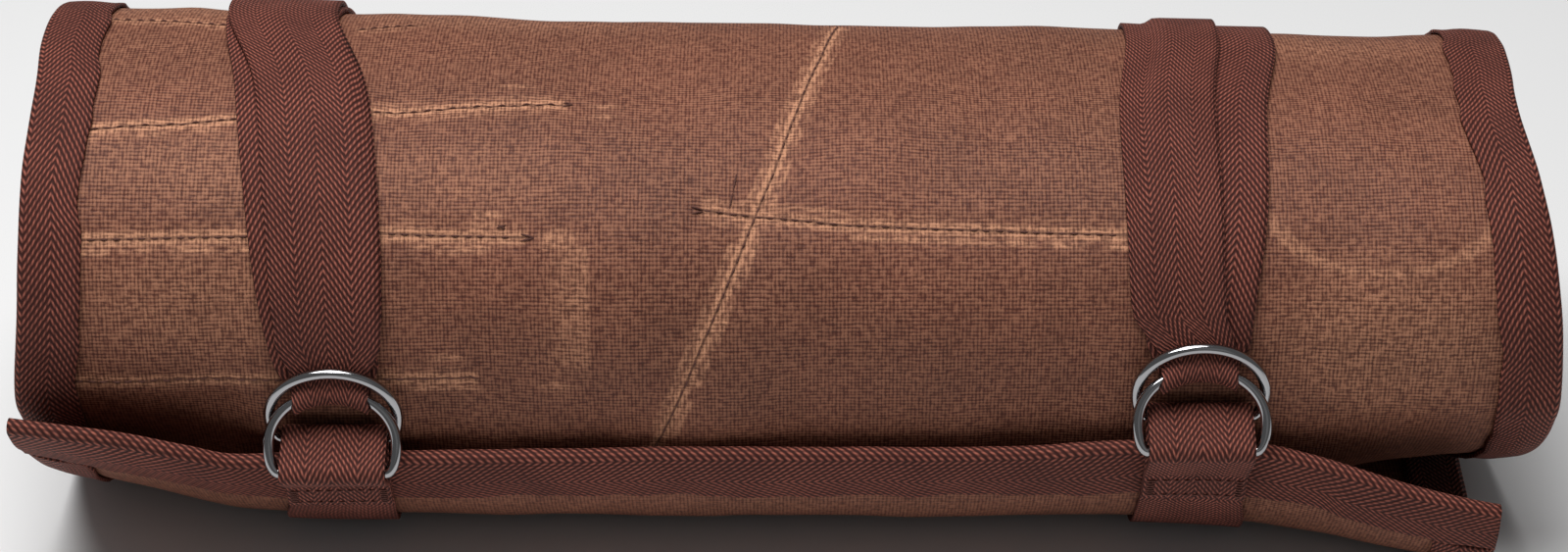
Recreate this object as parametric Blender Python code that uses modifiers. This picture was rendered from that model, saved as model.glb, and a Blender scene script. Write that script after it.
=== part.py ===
"""A waxed canvas wrench roll, rolled up and buckled, lying on a surface. Metres, +Z up.

The canvas is one sheet, wound from its free edge (the flap, low on the front) under the roll, up
the back, over the top and down the front, then inward in an open spiral. X runs along the roll,
the front faces -Y, and z = 0 is the surface that the two straps rest on.
"""

import math
from collections import namedtuple

import bmesh
import bpy
from mathutils import Vector

# The sheet and its roll
SHEET_WIDTH = 0.345
HALF_DEPTH = 0.061
TOP_RISE = 0.0549
LOW_DROP = 0.0546
REST_DROP = 0.051
TURNS = 3.2
EDGE_ANGLE = math.radians(15.0)
TURN_STEPS = 24
INNER_STEPS = 15
FLAP_TURN = 0.17

# Cloth, tape and webbing
CANVAS = 0.0014
PANEL = 0.0010
TAPE = 0.0009
TAPE_WIDTH = 0.0125
WEBBING = 0.0013
WEBBING_WIDTH = 0.0254
GAP = 0.0003
PANEL_GAP = 0.0008
POCKET_ROOM = 0.0100

# D-rings of bent wire: the room beside the webbing, the height from the bar to the widest place
# and from there to the top of the arch, and how far the corners draw in to the bar
WIRE = 0.0025
RING_CLEARANCE = 0.0004
RING_SHOULDER = 0.0062
RING_ARCH = 0.0120
RING_CORNER = 0.0024

# Where the two bars lie, out and up from the flap's edge, and how far the hem reaches down
FRONT_BAR_OUT = 0.0003
FRONT_BAR_UP = 0.0062
BACK_BAR_OUT = 0.0088
BACK_BAR_UP = 0.0021
HEM = 0.0100

# What follows from these
BOUND = CANVAS + 2.0 * (GAP + TAPE)
HUG = (BOUND + GAP) * 1.12
TAPE_LIFT = CANVAS / 2 + GAP + TAPE / 2
PANEL_LIFT = CANVAS / 2 + PANEL_GAP + PANEL / 2
STRAP_LIFT = CANVAS / 2 + GAP + WEBBING / 2
BOUND_STRAP_LIFT = BOUND / 2 + GAP + WEBBING / 2
LAYER = WEBBING + GAP
WIRE_LIFT = WEBBING / 2 + GAP + WIRE / 2
AXIS_HEIGHT = REST_DROP + STRAP_LIFT + WEBBING / 2
RING_HALF = WEBBING_WIDTH / 2 + RING_CLEARANCE + WIRE / 2
RING_HEIGHT = RING_SHOULDER + RING_ARCH
PATH = math.pi * (2.0 * HALF_DEPTH + TOP_RISE + LOW_DROP) / 2

# The roll's section along its length. along is a share of half the sheet's width, top and low are
# shares of TOP_RISE and LOW_DROP, and the fullness is a superellipse's exponent in the lower
# front quarter, of the flap and of the turns inside it.
Section = namedtuple("Section", "along top low flap_fullness body_fullness")
SECTIONS = (
    Section(-1.02, 1.10, 0.88, 1.35, 1.35),
    Section(-0.87, 1.09, 0.95, 1.60, 1.45),
    Section(-0.70, 1.075, 1.00, 1.95, 1.80),
    Section(-0.45, 1.045, 1.00, 2.05, 2.00),
    Section(0.00, 1.00, 1.00, 2.10, 2.10),
    Section(0.45, 0.975, 1.00, 2.15, 2.05),
    Section(0.70, 0.955, 1.00, 2.50, 1.75),
    Section(0.85, 0.945, 1.00, 3.10, 1.45),
    Section(1.02, 0.935, 1.00, 3.80, 1.35),
)

# The flap's edge, as shares of HALF_DEPTH out of and above the roll's axis
Lip = namedtuple("Lip", "along out up")
LIPS = (
    Lip(-1.00, 1.148, 0.016),
    Lip(-0.93, 1.148, -0.016),
    Lip(-0.85, 1.115, -0.074),
    Lip(-0.775, 1.070, -0.156),
    Lip(-0.725, 1.020, -0.222),
    Lip(-0.64, 0.990, -0.235),
    Lip(-0.50, 0.975, -0.236),
    Lip(-0.12, 0.975, -0.221),
    Lip(0.30, 0.979, -0.215),
    Lip(0.46, 0.989, -0.182),
    Lip(0.60, 0.989, -0.185),
    Lip(0.68, 1.005, -0.225),
    Lip(0.76, 1.041, -0.279),
    Lip(0.83, 1.066, -0.336),
    Lip(0.92, 1.082, -0.393),
    Lip(1.00, 1.082, -0.430),
)

# How far each turn lies inside the outline: hug in bound thicknesses, room in pocket rooms
Winding = namedtuple("Winding", "turn hug room")
WINDINGS = (
    Winding(0.00, 0.0, 0.00),
    Winding(0.60, 0.0, 0.00),
    Winding(0.72, 0.0, 0.00),
    Winding(0.80, 0.05, 0.00),
    Winding(0.88, 0.35, 0.00),
    Winding(0.96, 0.95, 0.00),
    Winding(1.02, 1.0, 0.08),
    Winding(1.20, 1.0, 0.55),
    Winding(1.50, 1.0, 0.95),
    Winding(2.00, 1.0, 1.40),
    Winding(2.50, 1.0, 2.00),
    Winding(3.00, 1.0, 2.55),
    Winding(3.20, 1.0, 2.80),
)

# The sheet's side edges by turn, as shares of half its width
Edge = namedtuple("Edge", "turn left right")
EDGES = (
    Edge(0.00, -0.990, 0.933),
    Edge(0.20, -1.000, 0.950),
    Edge(0.45, -1.000, 0.960),
    Edge(0.60, -0.988, 0.980),
    Edge(0.70, -0.984, 0.970),
    Edge(0.76, -0.972, 0.963),
    Edge(0.82, -0.973, 0.975),
    Edge(0.90, -0.980, 0.995),
    Edge(0.96, -0.995, 1.004),
    Edge(1.10, -0.992, 1.004),
    Edge(1.40, -0.975, 0.975),
    Edge(1.70, -0.960, 0.940),
    Edge(2.00, -0.970, 0.965),
    Edge(2.40, -0.975, 0.960),
    Edge(3.20, -0.960, 0.950),
)

# A strap's middle line by turn, as shares of half the sheet's width, for the length that lies on
# the canvas and for the tail over it. Its rings are raised by a share of their wire's thickness, and
# the tail's spread is a share of half the webbing's width.
Run = namedtuple("Run", "turn under tail")
Strap = namedtuple("Strap", "name runs rise tail_spread")
STRAPS = (
    Strap("left", (
        Run(0.00, -0.586, -0.66),
        Run(0.30, -0.630, -0.68),
        Run(0.66, -0.682, -0.682),
        Run(0.76, -0.646, -0.620),
        Run(0.84, -0.619, -0.595),
        Run(0.90, -0.603, -0.588),
        Run(0.95, -0.587, -0.587),
    ), 0.0, 1.0),
    Strap("right", (
        Run(0.00, 0.540, 0.560),
        Run(0.30, 0.565, 0.545),
        Run(0.66, 0.594, 0.528),
        Run(0.76, 0.562, 0.504),
        Run(0.84, 0.550, 0.503),
        Run(0.90, 0.536, 0.510),
        Run(0.95, 0.536, 0.536),
    ), 1.0, 0.85),
)

# The webbing's width where it passes through the rings, as shares of its full width, how far above
# an arch it leaves the canvas, in wires, and the turn where the tail ends on the back
TAB_SPREAD = 0.93
WRAP_SPREAD = 0.60
WIRES_ABOVE = 2.0
TAIL_END = 0.47

# The pockets' slanted lines: the left row's mouth and the right row's sewn foot, at the turn where
# they cross the top, as shares of half the sheet's width, and how far they run along it in a turn
MOUTH_TURN = 0.75
LEFT_MOUTH = -0.30
LEFT_SLANT = -0.53
RIGHT_FOOT = 0.07
RIGHT_SLANT = -0.87
RIGHT_MOUTH = 0.45
SLIMMEST_POCKET = 0.040

# Lengthwise lines of the sheet, as shares of its width, close where its edge flares
TAPE_SHARE = TAPE_WIDTH / SHEET_WIDTH
SHEET_COLUMNS = [
    0.0, TAPE_SHARE, 0.075, 0.095, 0.12, 0.145, 0.175, 0.212, 0.25, 0.35, 0.48, 0.62, 0.755, 0.793, 0.832,
    0.87, 0.91, 1.0 - TAPE_SHARE, 1.0,
]

TOP_FULLNESS = 2.3
BACK_FULLNESS = 2.2

# The middle of everything built, left to right and front to back, seen from the roll's middle
BUILT_MIDDLE_X = 0.00034
BUILT_MIDDLE_Y = -0.00393


def read_row(rows, position):
    """The row of a table at a position between its own, on a smooth curve through them."""
    last = len(rows) - 2
    index = 0
    while index < last and rows[index + 1][0] < position:
        index += 1
    before = rows[max(index - 1, 0)]
    start = rows[index]
    end = rows[index + 1]
    after = rows[min(index + 2, len(rows) - 1)]
    step = end[0] - start[0]
    share = min(max((position - start[0]) / step, 0.0), 1.0)
    values = []
    for column in range(1, len(start)):
        first = (end[column] - before[column]) / (end[0] - before[0]) * step
        second = (after[column] - start[column]) / (after[0] - start[0]) * step
        rise = end[column] - start[column]
        curve = share * share * (3.0 - 2.0 * share) * rise
        ease_out = share * (1.0 - share) ** 2 * first
        ease_in = -share * share * (1.0 - share) * second
        values.append(start[column] + curve + ease_out + ease_in)
    return type(start)(position, *values)


def smooth(share):
    """0 to 1 with level ends."""
    share = min(max(share, 0.0), 1.0)
    return share * share * (3.0 - 2.0 * share)


def fullness(angle, turn, section):
    """The section's exponent at an angle: its own in each quarter, blended where they meet."""
    quarter = math.degrees(angle) % 360.0
    flap_share = 1.0 - smooth((turn - 0.25) / 0.3)
    front = section.body_fullness + flap_share * (section.flap_fullness - section.body_fullness)
    if quarter > 270.0:
        quarter -= 360.0
    into_front = smooth((quarter + 18.0) / 26.0)
    into_back = smooth((quarter - 75.0) / 30.0)
    into_top = smooth((quarter - 165.0) / 30.0)
    value = TOP_FULLNESS + into_front * (front - TOP_FULLNESS)
    value += into_back * (BACK_FULLNESS - value)
    return value + into_top * (TOP_FULLNESS - value)


def wound(turn, x):
    """Out and up from the axis, on the middle of the canvas, without the flap's flare."""
    section = read_row(SECTIONS, x / (SHEET_WIDTH / 2))
    winding = read_row(WINDINGS, turn)
    angle = EDGE_ANGLE + 2.0 * math.pi * turn
    out = math.cos(angle)
    down = math.sin(angle)
    height = LOW_DROP * section.low if down > 0.0 else TOP_RISE * section.top
    power = fullness(angle, turn, section)
    radius = (abs(out / HALF_DEPTH) ** power + abs(down / height) ** power) ** (-1.0 / power)
    inset = winding.hug * HUG + winding.room * POCKET_ROOM
    share = 1.0 - inset / HALF_DEPTH
    return radius * out * share, max(-radius * down * share, -REST_DROP * share)


def middle(turn, x):
    """A point on the middle of the canvas."""
    out, up = wound(turn, x)
    if turn < FLAP_TURN:
        lip = read_row(LIPS, x / (SHEET_WIDTH / 2))
        edge_out, edge_up = wound(0.0, x)
        pull = (1.0 - turn / FLAP_TURN) ** 2
        out += pull * (lip.out * HALF_DEPTH - edge_out)
        up = max(up + pull * (lip.up * HALF_DEPTH - edge_up), -REST_DROP)
    return Vector((x, -out, AXIS_HEIGHT + up))


def row_step(turn):
    """The distance between lengthwise lines of the mesh, in turns."""
    return 1.0 / (TURN_STEPS if turn <= 1.0 else INNER_STEPS)


def lifted(turn, x, lift):
    """A point off the middle of the canvas, outward for a positive lift, square to both facets."""
    here = middle(turn, x)
    reach = row_step(turn)
    if turn < reach:
        reach = 0.004
    before = (here - middle(turn - reach, x)).normalized()
    after = (middle(turn + reach, x) - here).normalized()
    aside = 0.16 * TAPE_WIDTH
    along_x = middle(turn, x + aside) - middle(turn, x - aside)
    normal = (before + after).cross(along_x).normalized()
    return here + normal * (lift / math.cos(before.angle(after) / 2))


def side_edge(turn, side):
    """The x of the sheet's left or right edge."""
    edge = read_row(EDGES, turn)
    return (edge.left if side < 0 else edge.right) * SHEET_WIDTH / 2


def across_sheet(turn, share):
    """The x at a share of the way from the sheet's left edge to its right edge."""
    left = side_edge(turn, -1)
    return left + share * (side_edge(turn, 1) - left)


def turn_rows(start, end):
    """The turns from start to end and the steps between, finer on the outer turn."""
    outer = [step / TURN_STEPS for step in range(TURN_STEPS + 2)]
    inner = [outer[-1] + step / INNER_STEPS for step in range(1, math.ceil(TURNS * INNER_STEPS))]
    margin = 0.05 / TURN_STEPS
    between = [turn for turn in outer + inner if start + margin < turn < end - margin]
    return [start] + between + [end]


def make_material(name, color, roughness, metallic=0.0):
    material = bpy.data.materials.new(name)
    material.use_nodes = True
    shader = material.node_tree.nodes["Principled BSDF"]
    shader.inputs["Base Color"].default_value = (*color, 1.0)
    shader.inputs["Roughness"].default_value = roughness
    shader.inputs["Metallic"].default_value = metallic
    return material


def make_cloth(name, rows, columns, place, thickness, material, collection):
    """A grid laid over rows and columns by place(row, column), thickened to a solid."""
    shape = bmesh.new()
    across = len(columns) - 1
    down = len(rows) - 1
    bmesh.ops.create_grid(shape, x_segments=across, y_segments=down, size=0.5)
    for vertex in shape.verts:
        column = round((vertex.co.x + 0.5) * across)
        row = round((vertex.co.y + 0.5) * down)
        vertex.co = place(rows[row], columns[column])
    mesh = bpy.data.meshes.new(name)
    shape.to_mesh(mesh)
    shape.free()
    cloth = bpy.data.objects.new(name, mesh)
    mesh.materials.append(material)
    wall = cloth.modifiers.new("wall", "SOLIDIFY")
    wall.thickness = thickness
    wall.offset = 0.0
    wall.use_even_offset = True
    facets = cloth.modifiers.new("facets", "TRIANGULATE")
    facets.quad_method = "SHORTEST_DIAGONAL"
    collection.objects.link(cloth)
    return cloth


def make_canvas(material, collection):
    """The whole sheet, with lines where the tape ends and beside the straps."""
    rows = [0.0, TAPE_WIDTH / PATH] + turn_rows(1.6 / TURN_STEPS, TURNS)

    def place(turn, share):
        return middle(turn, across_sheet(turn, share))

    make_cloth("canvas_sheet", rows, SHEET_COLUMNS, place, CANVAS, material, collection)


def tape_profile():
    """The folded tape's section: how far it reaches in from the cloth's edge, and its lift."""
    past = -(GAP + TAPE / 2)
    return [(TAPE_WIDTH, TAPE_LIFT), (past, TAPE_LIFT), (past, -TAPE_LIFT), (TAPE_WIDTH, -TAPE_LIFT)]


def make_side_binding(name, side, material, collection):
    start = (TAPE_WIDTH + 2.0 * GAP) / PATH
    rows = [start] + turn_rows(1.6 / TURN_STEPS, TURNS)

    def place(turn, fold):
        reach, lift = fold
        return lifted(turn, side_edge(turn, side) - side * reach, lift)

    make_cloth(name, rows, tape_profile(), place, TAPE, material, collection)


def make_flap_binding(material, collection):
    past = (GAP + TAPE) / SHEET_WIDTH
    rows = [-past] + SHEET_COLUMNS + [1.0 + past]

    def place(share, fold):
        reach, lift = fold
        turn = reach / PATH
        return lifted(turn, across_sheet(turn, share), lift)

    make_cloth("binding_flap", rows, tape_profile(), place, TAPE, material, collection)


def slanted(foot, slant, turn):
    """The x of a slanted pocket line at a turn."""
    return (foot + slant * (turn - MOUTH_TURN)) * SHEET_WIDTH / 2


def make_panel(name, start, end, left_line, right_line, material, collection):
    columns = [0.0, 0.1, 0.25, 0.5, 0.75, 1.0]

    def place(turn, share):
        left = left_line(turn)
        return lifted(turn, left + share * (right_line(turn) - left), -PANEL_LIFT)

    make_cloth(name, turn_rows(start, end), columns, place, PANEL, material, collection)


def make_panels(material, collection):
    """The two rows of pockets: the left row opens to the right and the right row too."""
    inset = TAPE_WIDTH + 3.0 * GAP

    def left_side(turn):
        return side_edge(turn, -1) + inset

    def left_mouth(turn):
        return slanted(LEFT_MOUTH, LEFT_SLANT, turn)

    def right_foot(turn):
        return max(slanted(RIGHT_FOOT, RIGHT_SLANT, turn), left_side(turn))

    def right_mouth(turn):
        return RIGHT_MOUTH * SHEET_WIDTH / 2

    left_end = MOUTH_TURN
    while left_mouth(left_end) - left_side(left_end) > SLIMMEST_POCKET:
        left_end += 1.0 / TURN_STEPS
    right_start = MOUTH_TURN
    while right_mouth(right_start) - right_foot(right_start) > SLIMMEST_POCKET:
        right_start -= 1.0 / TURN_STEPS
    first = 3.0 / TURN_STEPS
    last = TURNS - 2.0 / TURN_STEPS
    make_panel("pocket_panel_left", first, left_end, left_side, left_mouth, material, collection)
    make_panel("pocket_panel_right", right_start, last, right_foot, right_mouth, material, collection)


def corner_point(angle):
    """A point of the ring's right corner: 0 at the end of the straight bar, 90 degrees at the shoulder."""
    across = RING_HALF - RING_CORNER * (1.0 - math.sin(angle))
    return across, RING_SHOULDER * (1.0 - math.cos(angle))


def ring_outline(arch_steps, corner_steps):
    """A D-ring's wire line in its own plane: across, and up from its straight bar."""
    corner = [corner_point(math.pi / 2 * step / corner_steps) for step in range(corner_steps)]
    arch = []
    for step in range(arch_steps + 1):
        angle = math.pi * step / arch_steps
        arch.append((RING_HALF * math.cos(angle), RING_SHOULDER + RING_ARCH * math.sin(angle)))
    mirrored = [(-across, rise) for across, rise in reversed(corner)]
    return corner + arch + mirrored


def bar_height(across):
    """How high the wire of the straight side runs, at a distance from the ring's middle."""
    past = max(abs(across) - (RING_HALF - RING_CORNER), 0.0) / RING_CORNER
    return RING_SHOULDER * (1.0 - math.sqrt(1.0 - past * past))


def arch_height(across):
    """How high the wire of the arch runs, at a distance from the ring's middle."""
    share = across / RING_HALF
    return RING_SHOULDER + RING_ARCH * math.sqrt(1.0 - share * share)


def arch_clearance(across):
    """From the wire's middle to the webbing's, where the arch slopes."""
    share = across / RING_HALF
    slope = RING_ARCH / RING_HALF * share / math.sqrt(1.0 - share * share)
    return WEBBING / 2 + GAP + WIRE / 2 * math.hypot(1.0, slope)


class Ring:
    """A D-ring in place: its bar's middle, and its lean, outward when positive."""

    def __init__(self, x, out, up, rest_lift):
        self.x = x
        self.out = out
        self.up = up
        self.lean = 0.0
        for _ in range(12):
            wanted = front_face(x, self.top()) + rest_lift - self.out
            self.lean = math.asin(max(min(wanted / RING_HEIGHT, 0.9), -0.9))

    def top(self):
        """How high the wire's middle reaches at the arch."""
        return self.up + RING_HEIGHT * math.cos(self.lean)

    def wire(self, x, height):
        """Out and up of the wire, at a height in the ring's own plane."""
        rise = height(x - self.x)
        return self.out + rise * math.sin(self.lean), self.up + rise * math.cos(self.lean)

    def build(self, name, material, collection):
        outline = ring_outline(14, 3)
        curve = bpy.data.curves.new(name, "CURVE")
        curve.dimensions = "3D"
        curve.bevel_depth = WIRE / 2
        curve.bevel_resolution = 2
        curve.use_fill_caps = True
        spline = curve.splines.new("POLY")
        spline.points.add(len(outline) - 1)
        for point, (across, rise) in zip(spline.points, outline):
            point.co = (across, 0.0, rise, 1.0)
        spline.use_cyclic_u = True
        curve.materials.append(material)
        ring = bpy.data.objects.new(name, curve)
        ring.location = (self.x, -self.out, AXIS_HEIGHT + self.up)
        ring.rotation_euler = (self.lean, 0.0, 0.0)
        collection.objects.link(ring)


def front_turn(x, up):
    """The turn at which the canvas passes a height on the front of the roll."""
    low = 0.75
    high = 1.02
    for _ in range(30):
        half = (low + high) / 2
        point = middle(half, x)
        if point.z - AXIS_HEIGHT > up:
            low = half
        else:
            high = half
    return low


def front_face(x, up):
    """How far out the canvas lies at a height on the front of the roll."""
    return -middle(front_turn(x, up), x).y


def arc_points(centre, radius, start, end, steps):
    """Points round a centre, from one angle to another; 0 points out, 90 degrees up."""
    points = []
    for step in range(steps + 1):
        angle = start + (end - start) * step / steps
        points.append((centre[0] + radius * math.cos(angle), centre[1] + radius * math.sin(angle)))
    return points


def tangent_angle(centre, radius, point, side):
    """Where a straight line from a point touches a circle, on its inner (1) or outer (-1) side."""
    out = point[0] - centre[0]
    up = point[1] - centre[1]
    spread = math.acos(min(radius / math.hypot(out, up), 1.0))
    return math.atan2(up, out) + side * spread


def section_spot(point):
    """Out and up from the axis, of a point in space."""
    return -point.y, point.z - AXIS_HEIGHT


def loop_round_bars(front_ring, back_ring, x, base, hem):
    """The webbing's way from the hem round the back ring's bar and the front one's to the base."""
    bar_front = front_ring.wire(x, bar_height)
    bar_back = back_ring.wire(x, bar_height)
    slope = math.atan2(bar_front[1] - bar_back[1], bar_front[0] - bar_back[0]) - math.pi / 2
    from_hem = tangent_angle(bar_back, WIRE_LIFT, section_spot(hem), 1)
    to_base = tangent_angle(bar_front, WIRE_LIFT, section_spot(base), -1) + 2.0 * math.pi
    spots = arc_points(bar_back, WIRE_LIFT, from_hem, slope, 3)
    return spots + arc_points(bar_front, WIRE_LIFT, slope, to_base, 5)


def wrap_through_rings(front_ring, back_ring, x, arriving, leaving):
    """Under the back ring's arch, up over it, and in behind the front ring's arch."""
    arch_back = back_ring.wire(x, arch_height)
    arch_front = front_ring.wire(x, arch_height)
    reach = arch_clearance(x - back_ring.x)
    start = tangent_angle(arch_back, reach, section_spot(arriving), 1)
    out = arch_front[0] - arch_back[0]
    up = arch_front[1] - arch_back[1]
    spread = math.acos(min(2.0 * reach / math.hypot(out, up), 1.0))
    crossing = math.atan2(up, out) - spread
    end = tangent_angle(arch_front, reach, section_spot(leaving), 1)
    spots = arc_points(arch_back, reach, start, crossing + 2.0 * math.pi, 8)
    return spots + arc_points(arch_front, reach, crossing + math.pi, end, 3)


def strap_line(strap, front_ring, back_ring, lateral):
    """One lengthwise line of a strap, from the sewn hem through both rings to the tail's end."""
    half = WEBBING_WIDTH / 2 * lateral
    scale = SHEET_WIDTH / 2

    def under_x(turn, spread):
        return read_row(strap.runs, turn).under * scale + half * spread

    def tail_x(turn):
        return read_row(strap.runs, turn).tail * scale + half * strap.tail_spread

    def in_section(x, spots):
        return [Vector((x, -spot[0], AXIS_HEIGHT + spot[1])) for spot in spots]

    tab_x = under_x(0.0, TAB_SPREAD)
    hem_rows = [HEM / PATH, HEM * 0.3 / PATH]
    hem = [lifted(turn, tab_x, BOUND_STRAP_LIFT + LAYER) for turn in hem_rows]
    tape_end = (TAPE_WIDTH + 2.0 * GAP) / PATH
    base_rows = [-(TAPE + 4.0 * GAP) / PATH, -(TAPE / 2 + GAP) / PATH, tape_end]
    base = [lifted(turn, tab_x, BOUND_STRAP_LIFT) for turn in base_rows]
    line = hem + in_section(tab_x, loop_round_bars(front_ring, back_ring, tab_x, base[0], hem[-1]))
    line += base

    under_end = front_turn(back_ring.x, back_ring.top() + WIRES_ABOVE * WIRE)
    under_rows = turn_rows(1.6 / TURN_STEPS, under_end)
    line += [lifted(turn, under_x(turn, 1.0), STRAP_LIFT) for turn in under_rows[:-1]]
    narrowed = (1.0 + WRAP_SPREAD) / 2
    line.append(lifted(under_end, under_x(under_end, narrowed), STRAP_LIFT))
    tail_start = front_turn(front_ring.x, front_ring.top() + WIRES_ABOVE * WIRE)
    tail_rows = list(reversed(turn_rows(TAIL_END, tail_start)))
    tail = [lifted(turn, tail_x(turn), STRAP_LIFT + LAYER) for turn in tail_rows]
    wrap_x = under_x(0.95, WRAP_SPREAD)
    line += in_section(wrap_x, wrap_through_rings(front_ring, back_ring, wrap_x, line[-1], tail[0]))
    return line + tail


def make_strap(strap, webbing, steel, collection):
    scale = SHEET_WIDTH / 2
    x = strap.runs[0].under * scale
    lip = middle(0.0, x)
    out = -lip.y
    up = lip.z - AXIS_HEIGHT + strap.rise * WIRE
    front = Ring(x, out + FRONT_BAR_OUT, up + FRONT_BAR_UP, STRAP_LIFT + LAYER + WIRE_LIFT)
    back = Ring(x, out + BACK_BAR_OUT, up + BACK_BAR_UP, STRAP_LIFT + WIRE_LIFT)
    front.build("d_ring_" + strap.name + "_front", steel, collection)
    back.build("d_ring_" + strap.name + "_back", steel, collection)
    laterals = [-1.0, -0.5, 0.0, 0.5, 1.0]
    lines = [strap_line(strap, front, back, lateral) for lateral in laterals]

    def place(row, column):
        return lines[column][row]

    make_cloth("strap_" + strap.name, range(len(lines[0])), range(len(lines)), place, WEBBING,
               webbing, collection)


def main():
    for item in list(bpy.data.objects):
        bpy.data.objects.remove(item, do_unlink=True)
    collection = bpy.data.collections.new("wrench_roll")
    bpy.context.scene.collection.children.link(collection)
    canvas = make_material("waxed_canvas", (0.205, 0.084, 0.053), 0.62)
    lining = make_material("canvas_inside", (0.150, 0.060, 0.038), 0.75)
    tape = make_material("herringbone_tape", (0.085, 0.022, 0.016), 0.70)
    webbing = make_material("herringbone_webbing", (0.080, 0.020, 0.015), 0.70)
    steel = make_material("chromed_steel", (0.78, 0.78, 0.80), 0.12, 1.0)
    make_canvas(canvas, collection)
    make_side_binding("binding_left", -1, tape, collection)
    make_side_binding("binding_right", 1, tape, collection)
    make_flap_binding(tape, collection)
    make_panels(lining, collection)
    for strap in STRAPS:
        make_strap(strap, webbing, steel, collection)
    for item in collection.objects:
        item.location.x -= BUILT_MIDDLE_X
        item.location.y -= BUILT_MIDDLE_Y


main()
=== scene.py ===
"""A rolled and strapped wrench roll of waxed canvas, as it looks: cloth, tape, webbing and chrome.

The canvas is one sheet wound in a spiral. A place on it is a turn, counted from its free edge low on
the front, and an x along the roll. Everything is in metres, in the row's frame.
"""

import math
from collections import namedtuple

import bpy
import numpy as np
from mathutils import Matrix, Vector


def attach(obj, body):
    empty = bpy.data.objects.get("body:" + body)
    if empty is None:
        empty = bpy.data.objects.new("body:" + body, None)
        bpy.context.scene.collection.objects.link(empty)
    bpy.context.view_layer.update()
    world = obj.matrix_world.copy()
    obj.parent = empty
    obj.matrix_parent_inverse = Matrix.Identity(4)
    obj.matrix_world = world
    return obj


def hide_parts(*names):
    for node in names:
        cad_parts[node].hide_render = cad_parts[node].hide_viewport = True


# The sheet and its roll
SHEET_WIDTH = 0.345
HALF_DEPTH = 0.061
TOP_RISE = 0.0549
LOW_DROP = 0.0546
REST_DROP = 0.051
TURNS = 3.2
EDGE_ANGLE = math.radians(15.0)
FLAP_TURN = 0.17

# Cloth, tape and webbing
CANVAS = 0.0014
PANEL = 0.0010
TAPE = 0.0009
TAPE_WIDTH = 0.0125
WEBBING = 0.0013
WEBBING_WIDTH = 0.0254
GAP = 0.0003
PANEL_GAP = 0.0008
POCKET_ROOM = 0.0100

# D-rings of bent wire
WIRE = 0.0025
RING_CLEARANCE = 0.0004
RING_SHOULDER = 0.0062
RING_ARCH = 0.0120
RING_CORNER = 0.0024
FRONT_BAR_OUT = 0.0003
FRONT_BAR_UP = 0.0062
BACK_BAR_OUT = 0.0088
BACK_BAR_UP = 0.0021
HEM = 0.0100

BOUND = CANVAS + 2.0 * (GAP + TAPE)
HUG = (BOUND + GAP) * 1.12
TAPE_LIFT = CANVAS / 2 + GAP + TAPE / 2
PANEL_LIFT = CANVAS / 2 + PANEL_GAP + PANEL / 2
STRAP_LIFT = CANVAS / 2 + GAP + WEBBING / 2
BOUND_STRAP_LIFT = BOUND / 2 + GAP + WEBBING / 2
LAYER = WEBBING + GAP
WIRE_LIFT = WEBBING / 2 + GAP + WIRE / 2
RING_HALF = WEBBING_WIDTH / 2 + RING_CLEARANCE + WIRE / 2
RING_HEIGHT = RING_SHOULDER + RING_ARCH
PATH = math.pi * (2.0 * HALF_DEPTH + TOP_RISE + LOW_DROP) / 2

# The roll's axis in the row's frame
AXIS_X = -0.00034
AXIS_Y = 0.00393
AXIS_HEIGHT = REST_DROP + STRAP_LIFT + WEBBING / 2

# The roll's section along its length: see fullness and wound
Section = namedtuple("Section", "along top low flap_fullness body_fullness")
SECTIONS = (
    Section(-1.02, 1.10, 0.88, 1.35, 1.35),
    Section(-0.87, 1.09, 0.95, 1.60, 1.45),
    Section(-0.70, 1.075, 1.00, 1.95, 1.80),
    Section(-0.45, 1.045, 1.00, 2.05, 2.00),
    Section(0.00, 1.00, 1.00, 2.10, 2.10),
    Section(0.45, 0.975, 1.00, 2.15, 2.05),
    Section(0.70, 0.955, 1.00, 2.50, 1.75),
    Section(0.85, 0.945, 1.00, 3.10, 1.45),
    Section(1.02, 0.935, 1.00, 3.80, 1.35),
)

# The flap's edge, as shares of HALF_DEPTH out of and above the roll's axis
Lip = namedtuple("Lip", "along out up")
LIPS = (
    Lip(-1.00, 1.148, 0.016),
    Lip(-0.93, 1.148, -0.016),
    Lip(-0.85, 1.115, -0.074),
    Lip(-0.775, 1.070, -0.156),
    Lip(-0.725, 1.020, -0.222),
    Lip(-0.64, 0.990, -0.235),
    Lip(-0.50, 0.975, -0.236),
    Lip(-0.12, 0.975, -0.221),
    Lip(0.30, 0.979, -0.215),
    Lip(0.46, 0.989, -0.182),
    Lip(0.60, 0.989, -0.185),
    Lip(0.68, 1.005, -0.225),
    Lip(0.76, 1.041, -0.279),
    Lip(0.83, 1.066, -0.336),
    Lip(0.92, 1.082, -0.393),
    Lip(1.00, 1.082, -0.430),
)

# How far each turn lies inside the outline: hug in bound thicknesses, room in pocket rooms
Winding = namedtuple("Winding", "turn hug room")
WINDINGS = (
    Winding(0.00, 0.0, 0.00),
    Winding(0.60, 0.0, 0.00),
    Winding(0.72, 0.0, 0.00),
    Winding(0.80, 0.05, 0.00),
    Winding(0.88, 0.35, 0.00),
    Winding(0.96, 0.95, 0.00),
    Winding(1.02, 1.0, 0.08),
    Winding(1.20, 1.0, 0.55),
    Winding(1.50, 1.0, 0.95),
    Winding(2.00, 1.0, 1.40),
    Winding(2.50, 1.0, 2.00),
    Winding(3.00, 1.0, 2.55),
    Winding(3.20, 1.0, 2.80),
)

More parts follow.
